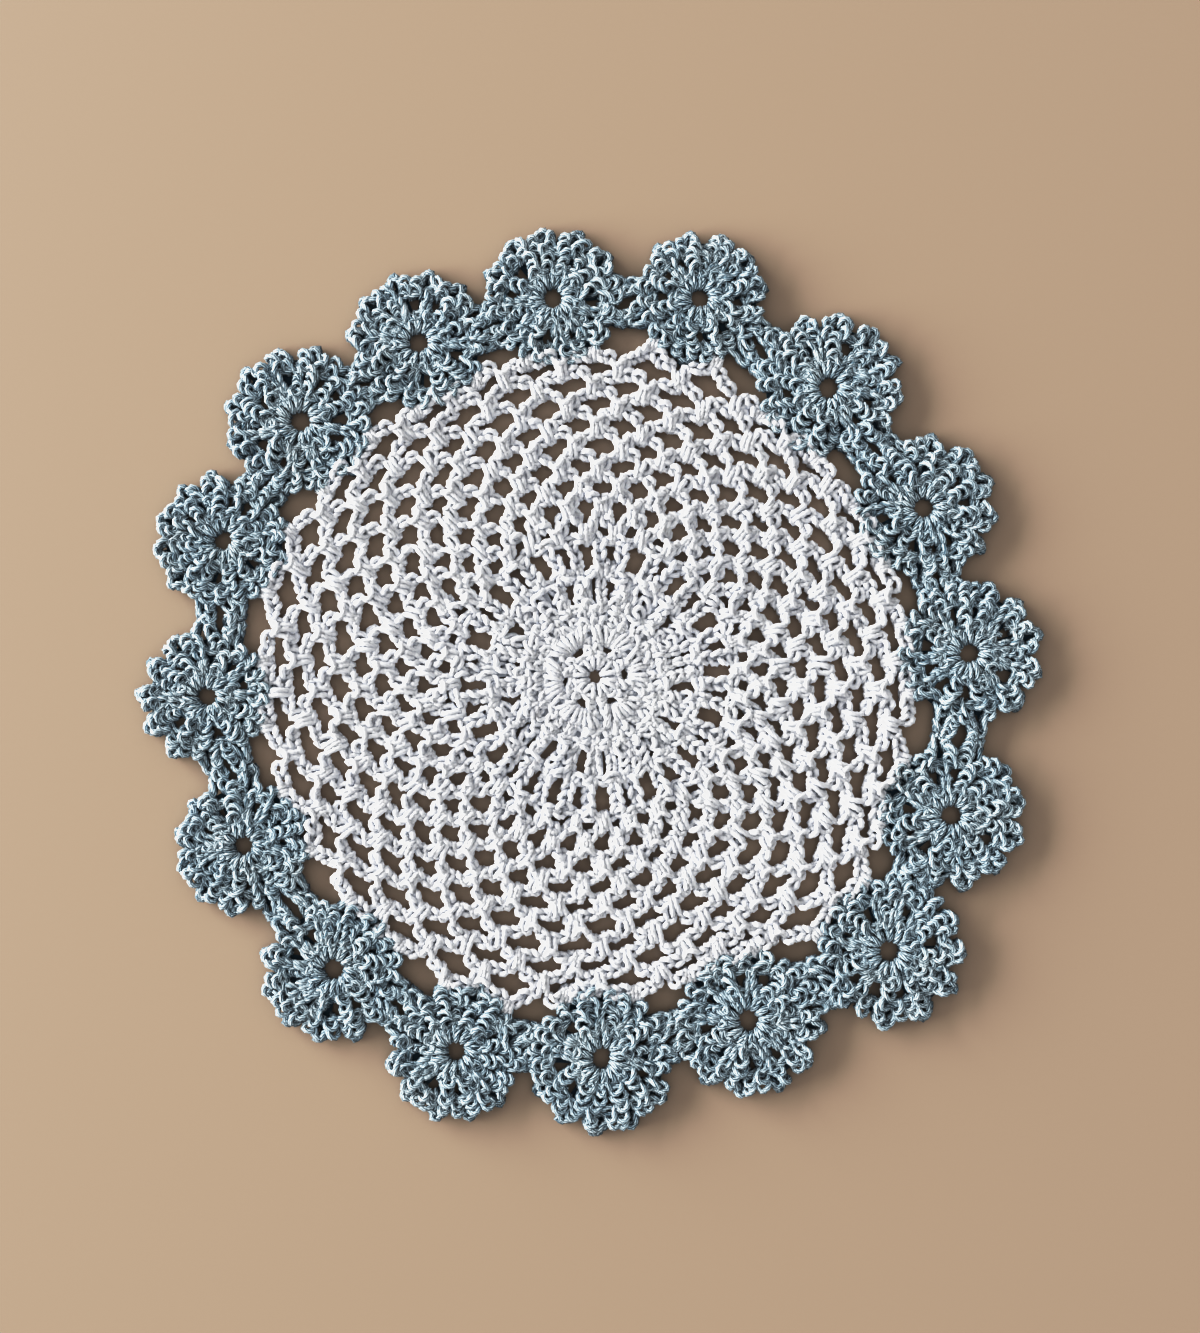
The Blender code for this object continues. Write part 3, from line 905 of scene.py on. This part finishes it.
def picotRun(motif, n, angle):
    # a short chain out to the tip and back
    loops, tip = motifSize["picots"], motif.row["tip"]
    if n in neighbourPicots:
        point = meeting(motif.number, n)
        tip = math.dist(point, motif.centre) + 0.7
        angle = direction(motif.centre, point)
    base = loops["base"] * motif.scale
    spot = Spot(polar(base, angle, motif.centre), angle + near(6))
    out = tip - base - 0.9
    wide = loops["spread"] * (1 + near(0.15))
    going = ((wide * 1.2, -1.6, 2.3), (wide, 0.0, 2.3),
             (wide * 0.6, out * 0.5, 2.1), (wide * 0.3, out * 0.85, 1.9))
    coming = [(-across, up, z) for across, up, z in reversed(going)]
    line = [spot.put(*point) for point in (*going, (0, out, 1.9), *coming)]
    run = []
    roll = loops["roll"] + near(30)
    chainAlong(run, line, loops["links"], (roll, roll + near(40)), loops["half"])
    return run


def bridgeRuns(motif):
    # stitches beside the joined picots, towards each neighbour
    bridge, runs = motifSize["bridge"], []
    for side in (-1, 1):
        for share in bridge["apart"]:
            angle = motif.row["angle"] + side * (3 + share) * picotStep + motif.row["turn"] * bridge["turn"]
            foot = polar(bridge["base"] * motif.scale, angle, motif.centre)
            one, two = meeting(motif.number, side * 3), meeting(motif.number, side * 4)
            head = (one[0] + (two[0] - one[0]) * share, one[1] + (two[1] - one[1]) * share)
            spot = Spot(foot, direction(foot, head) + near(12))
            run = []
            makeColumn(run, spot, math.dist(foot, head) + bridge["past"], bridge["half"], bridge["hooks"],
                       foot=1.0, slant=35, skew=20)
            runs.append(run)
    return runs


def motifRuns(number):
    chance.seed(100 + number)
    motif = Motif(number)
    return (ringRuns(motif) + braidRuns(motif) + postRuns(motif) + fillerRuns(motif) + edgeRuns(motif)
            + bridgeRuns(motif))


for number in range(len(motifTable)):
    pieces[f"motif{number}"] = yarnPiece(f"motif_{number + 1:02d}_yarn", motifRuns(number), marlCotton,
                                         yarn["marl"], motifSize["stray"])
print("yarn made")

# thin ground sheets: the mat's own plan in strips, hidden in the yarn between its layers. They stand in for
# deeper yarn and fill chinks between strands; lying at mid height with no yarnAbove on them, they take the
# full painted inside and flank shade and show as shade in the gaps
ground = {
    "bottom": 1.3, "top": 1.6,
    "discBands": ((2.9, 8.2, 48), (11.4, 23.5, 48), (33.2, 35.2, 48), (45.2, 46.8, 96)),  # radii and points
    "motifBands": ((3.9, 9.0, 48), (15.6, 20.0, 48)),
    "motifRibs": ((8.6, 16.2, 4.0), (19.8, 22.6, 1.0)),  # radii and width, at each picot
    "post": 1.8, "rope": 1.6, "knot": 2.4, "knotEnds": (-3, 2.4),  # widths, and a knot's ends
}


def groundSheet(name, strips, material):
    # a strip is its left points, its right points, and whether it closes on itself
    def corner(point, side):
        x, y = point[0] + discCentre[0], point[1] + discCentre[1]
        return mesh.verts.new((x * mm, y * mm, ground[side] * mm))

    mesh = bmesh.new()
    for left, right, closed in strips:
        rows = [[corner(a, "bottom"), corner(b, "bottom"), corner(b, "top"), corner(a, "top")]
                for a, b in zip(left, right)]
        count = len(rows)
        for i in range(count if closed else count - 1):
            one, two = rows[i], rows[(i + 1) % count]
            for k in range(4):
                mesh.faces.new((one[k], one[(k + 1) % 4], two[(k + 1) % 4], two[k]))
        if not closed:
            mesh.faces.new(rows[0][::-1])
            mesh.faces.new(rows[-1])
    bmesh.ops.recalc_face_normals(mesh, faces=mesh.faces)
    made = bpy.data.meshes.new(name)
    mesh.to_mesh(made)
    mesh.free()
    made.materials.append(material)
    sheet = bpy.data.objects.new(name, made)
    bpy.context.scene.collection.objects.link(sheet)
    triangles = sum(len(face.vertices) - 2 for face in made.polygons)
    area = sum(face.area for face in made.polygons) / 2
    print(f"{name}: {triangles} triangles, one side {area * 10000:.1f} square centimetres")
    return sheet


def band(centre, inner, outer, points):
    angles = [360 / points * i for i in range(points)]
    return [polar(inner, a, centre) for a in angles], [polar(outer, a, centre) for a in angles], True


def rib(line, width):
    left, right = [], []
    for i, point in enumerate(line):
        a, b = line[max(i - 1, 0)], line[min(i + 1, len(line) - 1)]
        length = math.dist(a[:2], b[:2])
        across = (-(b[1] - a[1]) / length * width / 2, (b[0] - a[0]) / length * width / 2)
        left.append((point[0] + across[0], point[1] + across[1]))
        right.append((point[0] - across[0], point[1] - across[1]))
    return left, right, False


def discStrips():
    strips = [band((0, 0), *size) for size in ground["discBands"]]
    for size in (disc["triples"], disc["vees"]):
        for middle, side in groupSides(size):
            strips.append(rib([polar(size["base"], middle + side * size["spreadBase"]),
                               polar(size["top"], middle + side * size["spreadTop"])], ground["post"]))
    for row in range(1, net["rows"]):
        for number in range(net["columns"]):
            strips.append(rib(archLine(row, number)[::4], ground["rope"]))
            ends = [places[row][number].put(0, end, 0) for end in ground["knotEnds"]]
            strips.append(rib(ends, ground["knot"]))
    return strips


def motifStrips(number):
    motif = Motif(number)
    strips = [band(motif.centre, inner * motif.scale, outer * motif.scale, points)
              for inner, outer, points in ground["motifBands"]]
    for angle in motif.angles:
        for inner, outer, width in ground["motifRibs"]:
            strips.append(rib([polar(inner * motif.scale, angle, motif.centre),
                               polar(outer * motif.scale, angle, motif.centre)], width))
    return strips


# the motif sheets take the marl's dark painted shade, so they read as deep shade in the motifs' chinks
discGround = groundSheet("disc_ground", discStrips(), whiteCotton)
motifGrounds = [groundSheet(f"motif_{n + 1:02d}_ground", motifStrips(n), marlCotton)
                for n in range(len(motifTable))]

for piece in (*pieces.values(), discGround, *motifGrounds):
    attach(piece, "root")
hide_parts("centre_disc")
for number, sheet in enumerate(motifGrounds):
    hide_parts(f"motif_{number + 1:02d}")

# floor, light and camera
studio = {
    "floorSize": 6, "floorColour": (0.393, 0.318, 0.256, 1), "floorRoughness": 0.8,
    "sky": (1.0, 0.98, 0.96, 1), "skyStrength": 0.76,
}
bpy.ops.mesh.primitive_plane_add(size=studio["floorSize"])
floor = bpy.context.object
floor.name = "floor"
paper = Finish("plainFloor")
paper.feed("Base Color", studio["floorColour"])
paper.feed("Roughness", studio["floorRoughness"])
floor.data.materials.append(paper.material)

world = bpy.data.worlds.new("studio")
bpy.context.scene.world = world
world.use_nodes = True
sky = world.node_tree.nodes["Background"]
sky.inputs["Color"].default_value = studio["sky"]
sky.inputs["Strength"].default_value = studio["skyStrength"]

window = {"place": (-4.65, 1.25, 1.05), "size": (6.5, 1.8), "power": 900, "colour": (1.0, 0.98, 0.95)}
windowData = bpy.data.lights.new("window", "AREA")
windowData.shape, windowData.energy, windowData.color = "RECTANGLE", window["power"], window["colour"]
windowData.size, windowData.size_y = window["size"]
windowLight = bpy.data.objects.new("window", windowData)
windowLight.location = window["place"]
windowLight.rotation_euler = (-Vector(window["place"])).to_track_quat("-Z", "Y").to_euler()
bpy.context.scene.collection.objects.link(windowLight)

camera = {
    "place": (0.00328, -0.01337, 0.4797), "aim": (0.00328, 0.00338, 0.0),
    "focal": 1445.8, "longSide": 1333,  # in pixels of the photograph
    "film": 36.0, "nearest": 0.01, "farthest": 20,
}
cameraData = bpy.data.cameras.new("camera")
cameraData.sensor_width = camera["film"]
cameraData.lens = camera["focal"] / camera["longSide"] * camera["film"]
cameraData.clip_start, cameraData.clip_end = camera["nearest"], camera["farthest"]
cameraObject = bpy.data.objects.new("camera", cameraData)
bpy.context.scene.collection.objects.link(cameraObject)
cameraObject.location = camera["place"]
looking = Vector(camera["aim"]) - Vector(camera["place"])
cameraObject.rotation_euler = looking.to_track_quat("-Z", "Y").to_euler()
bpy.context.scene.camera = cameraObject

# the photograph's contrast: a soft toe and shoulder, from light to picture
toneCurve = ((0.0, 0.0), (0.15, 0.062), (0.32, 0.205), (0.52, 0.465), (0.65, 0.63), (0.83, 0.81),
             (1.08, 0.95), (1.6, 1.0))
picture = bpy.context.scene.view_settings
picture.view_transform = "Standard"
picture.use_curve_mapping = True
mapping = picture.curve_mapping
mapping.use_clip = False
tone = mapping.curves[3]
tone.points[0].location, tone.points[1].location = toneCurve[0], toneCurve[-1]
for point in toneCurve[1:-1]:
    tone.points.new(*point)
mapping.update()
print("stage set")
